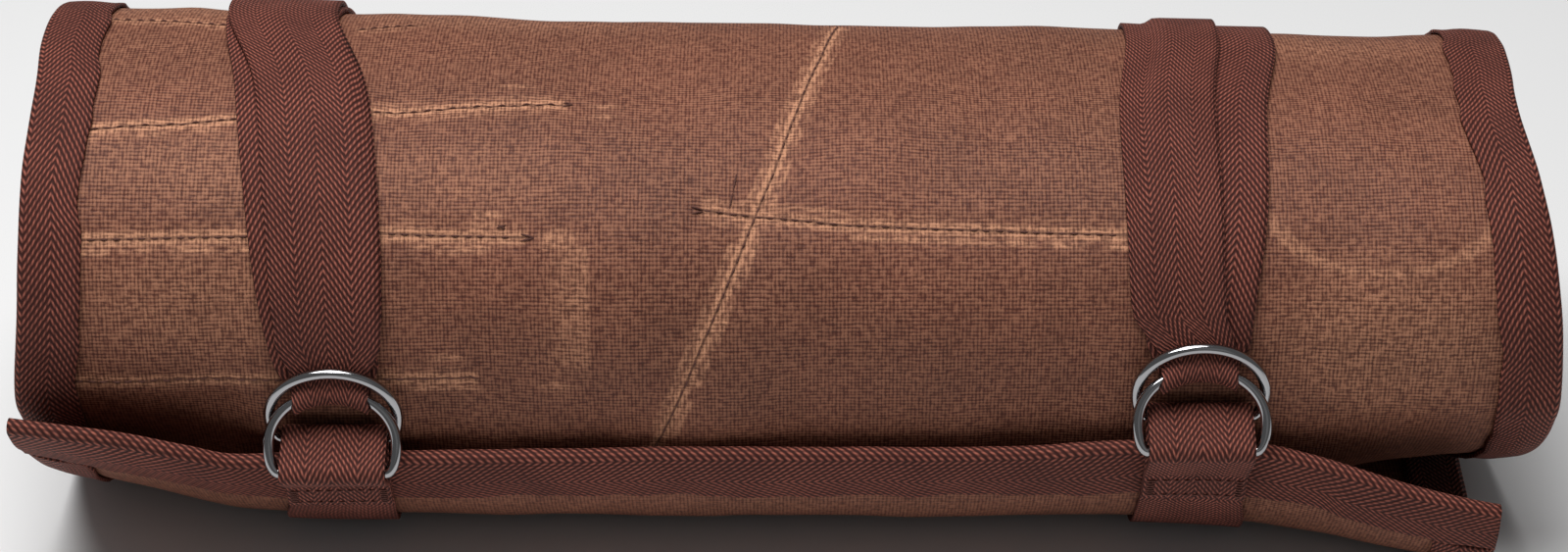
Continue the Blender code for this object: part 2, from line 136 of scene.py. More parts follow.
# The sheet's side edges by turn, as shares of half its width
Edge = namedtuple("Edge", "turn left right")
EDGES = (
    Edge(0.00, -0.990, 0.933),
    Edge(0.20, -1.000, 0.950),
    Edge(0.45, -1.000, 0.960),
    Edge(0.60, -0.988, 0.980),
    Edge(0.70, -0.984, 0.970),
    Edge(0.76, -0.972, 0.963),
    Edge(0.82, -0.973, 0.975),
    Edge(0.90, -0.980, 0.995),
    Edge(0.96, -0.995, 1.004),
    Edge(1.10, -0.992, 1.004),
    Edge(1.40, -0.975, 0.975),
    Edge(1.70, -0.960, 0.940),
    Edge(2.00, -0.970, 0.965),
    Edge(2.40, -0.975, 0.960),
    Edge(3.20, -0.960, 0.950),
)

# Each strap's middle line by turn, as shares of half the sheet's width
Run = namedtuple("Run", "turn under tail")
LEFT_RUNS = (
    Run(0.00, -0.586, -0.66),
    Run(0.30, -0.630, -0.68),
    Run(0.66, -0.682, -0.682),
    Run(0.76, -0.646, -0.620),
    Run(0.84, -0.619, -0.595),
    Run(0.90, -0.603, -0.588),
    Run(0.95, -0.587, -0.587),
)
RIGHT_RUNS = (
    Run(0.00, 0.540, 0.560),
    Run(0.30, 0.565, 0.545),
    Run(0.66, 0.594, 0.528),
    Run(0.76, 0.562, 0.504),
    Run(0.84, 0.550, 0.503),
    Run(0.90, 0.536, 0.510),
    Run(0.95, 0.536, 0.536),
)
TAB_SPREAD = 0.93
WRAP_SPREAD = 0.66
WIRES_ABOVE = 2.0
TAIL_END = 0.47

# The slanted lines of the pockets
MOUTH_TURN = 0.75
LEFT_MOUTH = -0.30
LEFT_SLANT = -0.53
RIGHT_FOOT = 0.07
RIGHT_SLANT = -0.87
RIGHT_MOUTH = 0.45
SLIMMEST_POCKET = 0.040

TOP_FULLNESS = 2.3
BACK_FULLNESS = 2.2

# Stitched lines seen on the outside, from start to end: x in mm, and turn. The wax is rubbed pale
# beside each, with fainter lines farther off above and below, and each pulls in by some mm
Seam = namedtuple("Seam", "start_x start_turn end_x end_turn rub above below pull")
SEAMS = (
    Seam(-158.0, 0.7920, -92.8, 0.7722, 0.85, 0.00, 0.55, 0.45),
    Seam(-92.8, 0.7722, -49.5, 0.7633, 0.80, 0.25, 0.35, 0.40),
    Seam(-160.0, 0.8574, -88.0, 0.8532, 0.90, 0.10, 0.65, 0.50),
    Seam(-88.0, 0.8532, -57.5, 0.8553, 0.80, 0.40, 0.55, 0.45),
    Seam(-162.0, 0.9458, -90.0, 0.9434, 0.60, 0.10, 0.10, 0.50),
    Seam(-90.0, 0.9434, -69.0, 0.9440, 0.75, 0.20, 0.45, 0.45),
    Seam(-160.0, 0.6700, -128.9, 0.6746, 0.60, 0.40, 0.35, 0.15),
    Seam(-99.6, 0.6756, -85.1, 0.6649, 0.30, 0.20, 0.20, 0.10),
    Seam(12.8, 0.6313, 8.6, 0.7007, 0.80, 0.30, 0.30, 0.35),
    Seam(8.6, 0.7007, 3.3, 0.7627, 0.85, 0.45, 0.45, 0.40),
    Seam(3.3, 0.7627, -2.2, 0.8142, 0.85, 0.50, 0.50, 0.45),
    Seam(-2.2, 0.8142, -9.8, 0.8653, 0.90, 0.60, 0.60, 0.45),
    Seam(-9.8, 0.8653, -18.6, 0.9213, 0.90, 0.60, 0.60, 0.45),
    Seam(-18.6, 0.9213, -31.0, 1.0100, 0.75, 0.50, 0.50, 0.40),
    Seam(-18.0, 0.8390, 13.1, 0.8481, 0.65, 0.55, 0.35, 0.45),
    Seam(13.1, 0.8481, 77.0, 0.8537, 0.70, 0.20, 0.70, 0.50),
)
STITCH = 0.0021
STITCH_PITCH = 0.0028
SEAM_THREAD = 0.00042

# Stitches on a strap's hem: their two rows and the bars that close them, measured in from the edges
HEM_ROWS = (0.0044, 0.0086)
HEM_STITCH = 0.0019
HEM_PITCH = 0.0024
HEM_THREAD = 0.00040
BAR_INSET = 0.0016
BAR_WIDTH = 0.0024
BAR_PITCH = 0.0007

# Round patches where the wax is rubbed pale: x in mm, turn, half sizes along x and the path in mm
Rub = namedtuple("Rub", "x turn half_x half_path strength")
RUBS = (
    Rub(-61.0, 0.7480, 5.5, 1.1, 0.45),
    Rub(-40.5, 0.7640, 4.0, 1.0, 0.45),
    Rub(-40.5, 0.7735, 4.0, 1.0, 0.45),
    Rub(-66.0, 0.8420, 5.5, 1.3, 0.60),
    Rub(-71.0, 0.8635, 8.0, 1.3, 0.45),
    Rub(-50.0, 0.8570, 6.0, 3.0, 0.55),
    Rub(-76.0, 0.9290, 6.0, 1.4, 0.45),
    Rub(-51.0, 0.9480, 5.0, 1.8, 0.40),
    Rub(-125.0, 0.8150, 42.0, 14.0, 0.16),
    Rub(135.0, 0.9200, 34.0, 26.0, 0.30),
    Rub(-125.0, 0.8950, 44.0, 16.0, 0.20),
    Rub(-70.0, 0.8200, 30.0, 12.0, 0.14),
    Rub(-140.0, 0.6450, 40.0, 12.0, 0.25),
    Rub(-70.0, 0.6450, 50.0, 12.0, 0.20),
    Rub(120.0, 0.6600, 50.0, 14.0, 0.20),
)

# A pale band that ends sharply at the right: x in mm, the turns it lies between, its fade in mm
Band = namedtuple("Band", "x start end fade")
BAND = Band(-43.6, 0.856, 0.945, 12.0)

# Loose thread ends and knots on the canvas: x in mm and turn, from start to end
Loose = namedtuple("Loose", "start_x start_turn end_x end_turn")
LOOSE = (
    Loose(-50.6, 0.7612, -47.6, 0.7634),
    Loose(-50.6, 0.7656, -47.6, 0.7634),
    Loose(-64.0, 0.8500, -61.6, 0.8478),
    Loose(-63.6, 0.8478, -61.8, 0.8504),
    Loose(-58.6, 0.8532, -55.2, 0.8556),
    Loose(-58.8, 0.8576, -55.2, 0.8556),
    Loose(-21.0, 0.8370, -17.6, 0.8392),
    Loose(-20.8, 0.8416, -17.6, 0.8396),
    Loose(-10.5, 0.8144, -11.4, 0.8272),
    Loose(-11.4, 0.8272, -12.2, 0.8390),
    Loose(-71.0, 0.9420, -68.4, 0.9446),
)

# The round mark pressed into the canvas at the right: x in mm, turn, half sizes in mm
Press = namedtuple("Press", "x turn half_x half_path")
PRESS = Press(134.0, 0.8330, 24.5, 15.0)

# Soft waves of the canvas: lengths along x and along the path in mm, start in turns, height in mm
Wave = namedtuple("Wave", "along_x along_path start height")
WAVES = (
    Wave(173.0, 260.0, 0.10, 0.55),
    Wave(-96.0, 131.0, 0.43, 0.42),
    Wave(61.0, -170.0, 0.77, 0.34),
    Wave(-47.0, -83.0, 0.21, 0.24),
    Wave(33.0, 57.0, 0.58, 0.15),
    Wave(-23.0, 71.0, 0.93, 0.10),
    Wave(15.5, -37.0, 0.35, 0.06),
)

# Waves of a tape's edge and folds: length in mm, start in turns, height in mm
Ripple = namedtuple("Ripple", "length start height")
RIPPLES = (
    Ripple(83.0, 0.15, 0.30),
    Ripple(37.0, 0.62, 0.26),
    Ripple(21.0, 0.33, 0.20),
    Ripple(12.7, 0.81, 0.12),
    Ripple(7.9, 0.05, 0.06),
)

# Yarns of the canvas, and the twill of the tape and the webbing: how far apart they lie
YARN_PAIR = 0.00170
TWILL_PITCH = 0.0019
TWILL_SLOPE = 1.5
TWILL_YARN = 0.0009


class Curve:
    """A table's columns, each on a smooth curve through its rows, read at many places at once."""

    def __init__(self, rows):
        self.places = np.linspace(rows[0][0], rows[-1][0], 900)
        names = rows[0]._fields[1:]
        starts = np.array([row[0] for row in rows])
        index = np.clip(np.searchsorted(starts, self.places, side="right") - 1, 0, len(rows) - 2)
        before = np.maximum(index - 1, 0)
        after = np.minimum(index + 2, len(rows) - 1)
        step = starts[index + 1] - starts[index]
        share = (self.places - starts[index]) / step
        self.columns = {}
        for number, name in enumerate(names):
            values = np.array([row[number + 1] for row in rows])
            rise = values[index + 1] - values[index]
            first = (values[index + 1] - values[before]) / (starts[index + 1] - starts[before]) * step
            second = (values[after] - values[index]) / (starts[after] - starts[index]) * step
            ease = share * (1.0 - share) ** 2 * first - share**2 * (1.0 - share) * second
            self.columns[name] = values[index] + share**2 * (3.0 - 2.0 * share) * rise + ease

    def read(self, name, places):
        return np.interp(places, self.places, self.columns[name])


SECTION = Curve(SECTIONS)
LIP = Curve(LIPS)
WINDING = Curve(WINDINGS)
EDGE = Curve(EDGES)
LEFT = Curve(LEFT_RUNS)
RIGHT = Curve(RIGHT_RUNS)


def smooth(share):
    """0 to 1 with level ends."""
    share = np.clip(share, 0.0, 1.0)
    return share * share * (3.0 - 2.0 * share)


def fullness(angle, turn, along):
    """The section's exponent at an angle: its own in each quarter, blended where they meet."""
    quarter = np.degrees(angle) % 360.0
    flap_share = 1.0 - smooth((turn - 0.25) / 0.3)
    body = SECTION.read("body_fullness", along)
    front = body + flap_share * (SECTION.read("flap_fullness", along) - body)
    quarter = np.where(quarter > 270.0, quarter - 360.0, quarter)
    value = TOP_FULLNESS + smooth((quarter + 18.0) / 26.0) * (front - TOP_FULLNESS)
    value = value + smooth((quarter - 75.0) / 30.0) * (BACK_FULLNESS - value)
    return value + smooth((quarter - 165.0) / 30.0) * (TOP_FULLNESS - value)


def wound(turn, x):
    """Out and up from the axis, on the middle of the canvas, without the flap's flare."""
    along = x / (SHEET_WIDTH / 2)
    angle = EDGE_ANGLE + 2.0 * math.pi * turn
    out = np.cos(angle)
    down = np.sin(angle)
    low = LOW_DROP * SECTION.read("low", along)
    height = np.where(down > 0.0, low, TOP_RISE * SECTION.read("top", along))
    power = fullness(angle, turn, along)
    radius = (np.abs(out / HALF_DEPTH) ** power + np.abs(down / height) ** power) ** (-1.0 / power)
    inset = WINDING.read("hug", turn) * HUG + WINDING.read("room", turn) * POCKET_ROOM
    share = 1.0 - inset / HALF_DEPTH
    return radius * out * share, np.maximum(-radius * down * share, -REST_DROP * share)


def middle(turn, x):
    """Points on the middle of the canvas, before its waves."""
    turn, x = np.broadcast_arrays(np.asarray(turn, float), np.asarray(x, float))
    out, up = wound(turn, x)
    along = x / (SHEET_WIDTH / 2)
    edge_out, edge_up = wound(np.zeros_like(x), x)
    pull = np.where(turn < FLAP_TURN, (1.0 - turn / FLAP_TURN) ** 2, 0.0)
    out = out + pull * (LIP.read("out", along) * HALF_DEPTH - edge_out)
    up = np.maximum(up + pull * (LIP.read("up", along) * HALF_DEPTH - edge_up), -REST_DROP)
    return np.stack((x + AXIS_X, AXIS_Y - out, AXIS_HEIGHT + up), axis=-1)


def strap_reach(turn, x):
    """How far a place is from the middle of the nearer strap, in metres."""
    half = SHEET_WIDTH / 2
    left = np.abs(x - LEFT.read("under", np.clip(turn, 0.0, 0.95)) * half)
    right = np.abs(x - RIGHT.read("under", np.clip(turn, 0.0, 0.95)) * half)
    return np.minimum(left, right)


def relief(turn, x):
    """The canvas's waves, seams and the straps' pull, outward in metres."""
    path = turn * PATH
    height = np.zeros_like(x)
    for wave in WAVES:
        phase = x * 1000.0 / wave.along_x + path * 1000.0 / wave.along_path + wave.start
        height = height + wave.height * np.sin(2.0 * math.pi * phase)
    for seam in SEAMS:
        along_x = (seam.end_x - seam.start_x) / 1000.0
        along_path = (seam.end_turn - seam.start_turn) * PATH
        length = math.hypot(along_x, along_path)
        from_x = x - seam.start_x / 1000.0
        from_path = path - seam.start_turn * PATH
        run = (from_x * along_x + from_path * along_path) / length
        off = (from_path * along_x - from_x * along_path) / length
        inside = smooth((run + 0.002) / 0.004) * smooth((length + 0.002 - run) / 0.004)
        ripple = 1.0 + 0.5 * np.sin(run * 1000.0 / 5.3 * 2.0 * math.pi + seam.start_x)
        height = height - seam.pull * ripple * inside * np.exp(-(off / 0.0022) ** 2)
    calm = smooth((turn - 0.02) / 0.08) * smooth((1.25 - turn) / 0.2)
    rest = smooth((np.abs(turn - 0.208) - 0.06) / 0.05)
    near_edge = smooth(np.minimum(x - side_edge(turn, -1), side_edge(turn, 1) - x) / 0.03)
    strapped = 1.0 - smooth((strap_reach(turn, x) - 0.0135) / 0.012) * smooth(turn / 0.05)
    strapped = np.where(turn < 1.0, strapped, 0.0)
    level = 0.45 + 0.55 * smooth((turn - 0.68) / 0.10)
    crease = smooth((turn - 0.9454) / 0.020) * smooth((-0.060 - x) / 0.030) * smooth((1.05 - turn) / 0.04)
    height = height * level - 2.0 * crease
    waved = height * calm * rest * (0.35 + 0.65 * near_edge) * (1.0 - strapped)
    return (waved - 0.30 * strapped * calm * rest) / 1000.0


def lifted(turn, x, lift):
    """Points off the middle of the canvas, outward for a positive lift."""
    turn, x = np.broadcast_arrays(np.asarray(turn, float), np.asarray(x, float))
    along_turn = middle(turn + 0.002, x) - middle(turn - 0.002, x)
    along_x = middle(turn, x + 0.001) - middle(turn, x - 0.001)
    normal = np.cross(along_turn, along_x)
    normal /= np.linalg.norm(normal, axis=-1, keepdims=True)
    return middle(turn, x) + normal * (relief(turn, x) + lift)[..., None]


def side_edge(turn, side):
    """The x of the sheet's left or right edge."""
    return EDGE.read("left" if side < 0 else "right", turn) * SHEET_WIDTH / 2


def across_sheet(turn, share):
    left = side_edge(turn, -1)
    return left + share * (side_edge(turn, 1) - left)


def ripple(place):
    """The waves of a tape's edge, in metres, at a place along it in metres."""
    height = np.zeros_like(place)
    for item in RIPPLES:
        height = height + item.height * np.sin(2.0 * math.pi * (place * 1000.0 / item.length + item.start))
    return height / 1000.0


def make_cloth(name, points, flat, thickness, material):
    """A grid of points thickened to cloth. Its UV map holds the places on the flat cloth, in metres."""
    rows, columns = points.shape[:2]
    index = np.arange(rows * columns).reshape(rows, columns)
    corners = (index[:-1, :-1], index[:-1, 1:], index[1:, 1:], index[1:, :-1])
    quads = np.stack(corners, axis=-1).reshape(-1, 4)
    mesh = bpy.data.meshes.new(name)
    mesh.from_pydata(points.reshape(-1, 3).tolist(), [], quads.tolist())
    layer = mesh.uv_layers.new(name="Cloth")
    layer.data.foreach_set("uv", flat.reshape(-1, 2)[quads.ravel()].astype(np.float32).ravel())
    mesh.shade_smooth()
    mesh.materials.append(material)
    cloth = bpy.data.objects.new(name, mesh)
    bpy.context.scene.collection.objects.link(cloth)
    wall = cloth.modifiers.new("wall", "SOLIDIFY")
    wall.thickness = thickness
    wall.offset = 0.0
    wall.use_even_offset = False
    return cloth


def outer_and_inner_turns(start, outer_step, inner_step):
    """Turns from start to the sheet's end, finer on the turn that shows."""
    outer = np.arange(start, 1.15, outer_step / PATH)
    inner = np.linspace(1.15, TURNS, round((TURNS - 1.15) * PATH * 0.75 / inner_step))
    return np.concatenate((outer, inner))


def make_canvas(material):
    turn = outer_and_inner_turns(0.0, 0.0020, 0.0055)[:, None]
    share = np.linspace(0.0, 1.0, 156)[None, :]
    x = across_sheet(turn, share)
    points = lifted(turn, x, np.zeros_like(x))
    flat = np.stack(np.broadcast_arrays(x, turn * PATH), axis=-1)
    return make_cloth("canvas_sheet", points, flat, CANVAS, material)


def tape_profile(leg_steps, fold_steps):
    """The folded tape's section: reach in from the cloth's edge, and lift, from one edge to the other."""
    leg = np.linspace(TAPE_WIDTH, 0.0, leg_steps)
    angle = np.linspace(0.0, math.pi, fold_steps)
    fold_reach = -(TAPE_LIFT - CANVAS / 4) * np.sin(angle)
    fold_lift = TAPE_LIFT * np.cos(angle)
    reach = np.concatenate((leg, fold_reach[1:-1], leg[::-1]))
    outer_leg = np.full(leg_steps, TAPE_LIFT)
    lift = np.concatenate((outer_leg, fold_lift[1:-1], -outer_leg))
    return reach, lift


def across_tape(reach, lift):
    """How far along the tape's own width each point of its section lies."""
    steps = np.hypot(np.diff(reach), np.diff(lift))
    return np.concatenate(([0.0], np.cumsum(steps)))


def puffed(reach, lift, along):
    """The tape's lift with its soft folds: it stands up a little between its stitches and its fold."""
    share = np.clip(reach / TAPE_WIDTH, 0.0, 1.0)
    puff = 0.00020 + 0.45 * np.abs(ripple(along * 1.3 + 0.02))
    puff = puff * np.sin(math.pi * np.clip(share * 1.25, 0.0, 1.0))
    edge = np.where(share > 0.9, 0.30 * np.abs(ripple(along * 1.9)), 0.0)
    return lift + np.sign(lift) * (puff + edge)


def make_side_binding(name, side, material):
    start = (TAPE_WIDTH + 2.0 * GAP) / PATH
    turn = outer_and_inner_turns(start, 0.0012, 0.004)[:, None]
    reach, lift = tape_profile(8, 7)
    along = turn * PATH + 0.13 * (side + 1)
    wide = reach[None, :] * (1.0 + np.where(reach > 0.0, ripple(along) / TAPE_WIDTH * 1.2, 0.0))
    x = side_edge(turn, side) - side * (wide - 0.2 * ripple(along * 0.7))
    free = smooth((np.abs(turn - 0.208) - 0.05) / 0.05)
    thick = puffed(reach[None, :], lift[None, :], along) * free + lift[None, :] * (1.0 - free)
    points = lifted(turn, x, thick)
    flat = np.stack(np.broadcast_arrays(across_tape(reach, lift)[None, :], turn * PATH), axis=-1)
    return make_cloth(name, points, flat, TAPE, material)


def make_flap_binding(material):
    past = (GAP + TAPE) / SHEET_WIDTH
    share = np.linspace(-past, 1.0 + past, 300)[:, None]
    reach, lift = tape_profile(9, 8)
    along = share * SHEET_WIDTH
    wide = reach[None, :] * (1.0 + np.where(reach > 0.0, ripple(along) / TAPE_WIDTH * 1.6, 0.0))
    turn = (wide - 0.25 * ripple(along * 0.8 + 0.05)) / PATH
    x = across_sheet(turn, share)
    near = 1.0 - smooth((strap_reach(turn, x) - 0.014) / 0.006)
    thick = puffed(reach[None, :], lift[None, :], along) * (1.0 - near) + lift[None, :] * near
    points = lifted(turn, x, thick)
    flat = np.stack(np.broadcast_arrays(across_tape(reach, lift)[None, :], along), axis=-1)
    return make_cloth("binding_flap", points, flat, TAPE, material)


def make_stitches(name, ends, lift, thickness, material):
    """Short threads, each from one (turn, x) to another, standing up a little off the cloth."""
    share = np.linspace(0.0, 1.0, 7)[None, :]
    ends = np.array(ends)
    turn = ends[:, 0:1] + (ends[:, 2:3] - ends[:, 0:1]) * share
    x = ends[:, 1:2] + (ends[:, 3:4] - ends[:, 1:2]) * share
    arch = thickness * (0.9 * np.sin(math.pi * share) - 0.35) + np.zeros_like(x)
    spine = lifted(turn, x, lift + arch)
    out = lifted(turn, x, lift + arch + 0.001) - spine
    out /= np.linalg.norm(out, axis=-1, keepdims=True)
    along = np.gradient(spine, axis=1)
    along /= np.linalg.norm(along, axis=-1, keepdims=True)
    side = np.cross(along, out)
    angle = np.linspace(0.0, 2.0 * math.pi, 9)[:-1]
    radius = thickness / 2 * np.sqrt(np.clip(1.0 - (2.0 * share - 1.0) ** 4, 0.05, 1.0))[..., None, None]
    ring = np.cos(angle)[:, None] * side[:, :, None, :] + np.sin(angle)[:, None] * out[:, :, None, :]
    points = spine[:, :, None, :] + ring * radius
    count, rings, sides = points.shape[:3]
    index = np.arange(count * rings * sides).reshape(count, rings, sides)
    after = np.roll(index, -1, axis=2)
    quads = np.stack((index[:, :-1], after[:, :-1], after[:, 1:], index[:, 1:]), axis=-1).reshape(-1, 4)
    caps = np.concatenate((index[:, 0, ::-1], index[:, -1]))
    mesh = bpy.data.meshes.new(name)
    mesh.from_pydata(points.reshape(-1, 3).tolist(), [], quads.tolist() + caps.tolist())
    mesh.shade_smooth()
    mesh.materials.append(material)
    threads = bpy.data.objects.new(name, mesh)
    bpy.context.scene.collection.objects.link(threads)
    return threads


def seam_stitches():
    """The ends of each stitch along the seams."""
    ends = []
    for seam in SEAMS:
        start = np.array((seam.start_turn, seam.start_x / 1000.0))
        step = np.array((seam.end_turn, seam.end_x / 1000.0)) - start
        length = math.hypot(step[0] * PATH, step[1])
        for number in range(int(length / STITCH_PITCH)):
            first = number * STITCH_PITCH / length
            ends.append((*(start + first * step), *(start + (first + STITCH / length) * step)))
    for loose in LOOSE:
        ends.append((loose.start_turn, loose.start_x / 1000.0, loose.end_turn, loose.end_x / 1000.0))
    return ends


def tab_stitches(middle_x):
    """Two rows of stitches across a strap's hem, and close bars at their ends."""
    half = WEBBING_WIDTH / 2 * TAB_SPREAD - BAR_INSET
    ends = []
    for reach in HEM_ROWS:
        for place in np.arange(-half, half - STITCH, HEM_PITCH):
            start_x = middle_x + place
            ends.append((reach / PATH, start_x, reach / PATH, start_x + HEM_STITCH))
    for side in (-1, 1):
        start_x = middle_x + side * half - BAR_WIDTH / 2
        for reach in np.arange(HEM_ROWS[0], HEM_ROWS[1] + BAR_PITCH / 3, BAR_PITCH):
            ends.append((reach / PATH, start_x, reach / PATH, start_x + BAR_WIDTH))
    return ends


def slanted(foot, slant, turn):
    return (foot + slant * (turn - MOUTH_TURN)) * SHEET_WIDTH / 2


def left_side(turn):
    return side_edge(turn, -1) + TAPE_WIDTH + 3.0 * GAP


def left_mouth(turn):
    return slanted(LEFT_MOUTH, LEFT_SLANT, turn)


def right_foot(turn):
    return np.maximum(slanted(RIGHT_FOOT, RIGHT_SLANT, turn), left_side(turn))


def right_mouth(turn):
    return np.full_like(turn, RIGHT_MOUTH * SHEET_WIDTH / 2)


def make_panel(name, start, end, left_line, right_line, material):
    turn = np.linspace(start, end, round((end - start) * PATH / 0.004))[:, None]
    share = np.linspace(0.0, 1.0, 46)[None, :]
    x = left_line(turn) + share * (right_line(turn) - left_line(turn))
    points = lifted(turn, x, np.full_like(x, -PANEL_LIFT))
    flat = np.stack(np.broadcast_arrays(x, turn * PATH), axis=-1)
    return make_cloth(name, points, flat, PANEL, material)


def make_panels(material):
    """The two rows of pockets, each widening or narrowing along its slanted line."""
    turn = np.arange(0.0, TURNS, 0.001)
    left_wide = turn[(left_mouth(turn) - left_side(turn) > SLIMMEST_POCKET) & (turn > MOUTH_TURN)]
    right_wide = turn[(right_mouth(turn) - right_foot(turn) > SLIMMEST_POCKET)]
    start = right_wide[0]
    end = TURNS - 0.083
    left = make_panel("pocket_panel_left", 0.125, left_wide[-1], left_side, left_mouth, material)
    right = make_panel("pocket_panel_right", start, end, right_foot, right_mouth, material)
    return left, right


def ring_outline(arch_steps, corner_steps):
    """A D-ring's wire line in its own plane: across, and up from its straight bar."""
    corner = np.linspace(0.0, math.pi / 2, corner_steps)[:-1]
    across = RING_HALF - RING_CORNER * (1.0 - np.sin(corner))
    rise = RING_SHOULDER * (1.0 - np.cos(corner))
    arch = np.linspace(0.0, math.pi, arch_steps)
    line = list(zip(across, rise))
    line += list(zip(RING_HALF * np.cos(arch), RING_SHOULDER + RING_ARCH * np.sin(arch)))
    return line + list(zip(-across[::-1], rise[::-1]))


def bar_height(across):
    """How high the wire of the straight side runs, at a distance from the ring's middle."""
    past = max(abs(across) - (RING_HALF - RING_CORNER), 0.0) / RING_CORNER
    return RING_SHOULDER * (1.0 - math.sqrt(1.0 - past * past))


def arch_height(across):
    """How high the wire of the arch runs, at a distance from the ring's middle."""
    share = across / RING_HALF
    return RING_SHOULDER + RING_ARCH * math.sqrt(1.0 - share * share)


def arch_clearance(across):
    """From the wire's middle to the webbing's, where the arch slopes."""
    share = across / RING_HALF
    slope = RING_ARCH / RING_HALF * share / math.sqrt(1.0 - share * share)
    return WEBBING / 2 + GAP + WIRE / 2 * math.hypot(1.0, slope)


def front_turn(x, up):
    """The turn at which the canvas passes a height on the front of the roll."""
    turn = np.linspace(0.75, 1.02, 400)
    point = middle(turn, np.full_like(turn, x))
    return float(np.interp(-(AXIS_HEIGHT + up), -point[:, 2], turn))


def front_face(x, up):
    """How far out the canvas lies at a height on the front of the roll."""
    return AXIS_Y - float(middle(front_turn(x, up), x)[1])


class Ring:
    """A D-ring in place: its bar's middle, and its lean, outward when positive."""

    def __init__(self, x, out, up, rest_lift):
        self.x = x
        self.out = out
        self.up = up
        self.lean = 0.0
        for _ in range(12):
            wanted = front_face(x, self.top()) + rest_lift - self.out
            self.lean = math.asin(max(min(wanted / RING_HEIGHT, 0.9), -0.9))

    def top(self):
        """How high the wire's middle reaches at the arch."""
        return self.up + RING_HEIGHT * math.cos(self.lean)

    def wire(self, x, height):
        """Out and up of the wire, at a height in the ring's own plane."""
        rise = height(x - self.x)
        return self.out + rise * math.sin(self.lean), self.up + rise * math.cos(self.lean)

    def build(self, name, material):
        outline = ring_outline(60, 14)
        curve = bpy.data.curves.new(name, "CURVE")
        curve.dimensions = "3D"
        curve.bevel_depth = WIRE / 2
        curve.bevel_resolution = 8
        spline = curve.splines.new("POLY")
        spline.points.add(len(outline) - 1)
        for point, (across, rise) in zip(spline.points, outline):
            point.co = (across, 0.0, rise, 1.0)
        spline.use_cyclic_u = True
        spline.use_smooth = True
        curve.materials.append(material)
        ring = bpy.data.objects.new(name, curve)
        ring.location = (self.x + AXIS_X, AXIS_Y - self.out, AXIS_HEIGHT + self.up)
        ring.rotation_euler = (self.lean, 0.0, 0.0)
        bpy.context.scene.collection.objects.link(ring)
        return ring


def arc_points(centre, radius, start, end, steps):
    """Points round a centre, from one angle to another; 0 points out, 90 degrees up."""
    angles = np.linspace(start, end, steps + 1)
    outs = centre[0] + radius * np.cos(angles)
    ups = centre[1] + radius * np.sin(angles)
    return list(zip(outs, ups))


def tangent_angle(centre, radius, point, side):
    """Where a straight line from a point touches a circle, on its inner (1) or outer (-1) side."""
    out = point[0] - centre[0]
    up = point[1] - centre[1]
    spread = math.acos(min(radius / math.hypot(out, up), 1.0))
    return math.atan2(up, out) + side * spread


def section_spot(point):
    """Out and up from the axis, of a point in space."""
    return AXIS_Y - point[1], point[2] - AXIS_HEIGHT


def loop_round_bars(front_ring, back_ring, x, base, hem):
    """The webbing's way from the hem round the back ring's bar and the front one's to the base."""
    bar_front = front_ring.wire(x, bar_height)
    bar_back = back_ring.wire(x, bar_height)
    slope = math.atan2(bar_front[1] - bar_back[1], bar_front[0] - bar_back[0]) - math.pi / 2
    from_hem = tangent_angle(bar_back, WIRE_LIFT, section_spot(hem), 1)
    to_base = tangent_angle(bar_front, WIRE_LIFT, section_spot(base), -1) + 2.0 * math.pi
    spots = arc_points(bar_back, WIRE_LIFT, from_hem, slope, 10)
    return spots + arc_points(bar_front, WIRE_LIFT, slope, to_base, 14)


def wrap_through_rings(front_ring, back_ring, x, arriving, leaving):
    """Under the back ring's arch, up over it, and in behind the front ring's arch."""
    arch_back = back_ring.wire(x, arch_height)
    arch_front = front_ring.wire(x, arch_height)
    reach = arch_clearance(x - back_ring.x)
    start = tangent_angle(arch_back, reach, section_spot(arriving), 1)
    out = arch_front[0] - arch_back[0]
    up = arch_front[1] - arch_back[1]
    spread = math.acos(min(2.0 * reach / math.hypot(out, up), 1.0))
    crossing = math.atan2(up, out) - spread
    end = tangent_angle(arch_front, reach, section_spot(leaving), 1)
    spots = arc_points(arch_back, reach, start, crossing + 2.0 * math.pi, 22)
    return spots + arc_points(arch_front, reach, crossing + math.pi, end, 8)


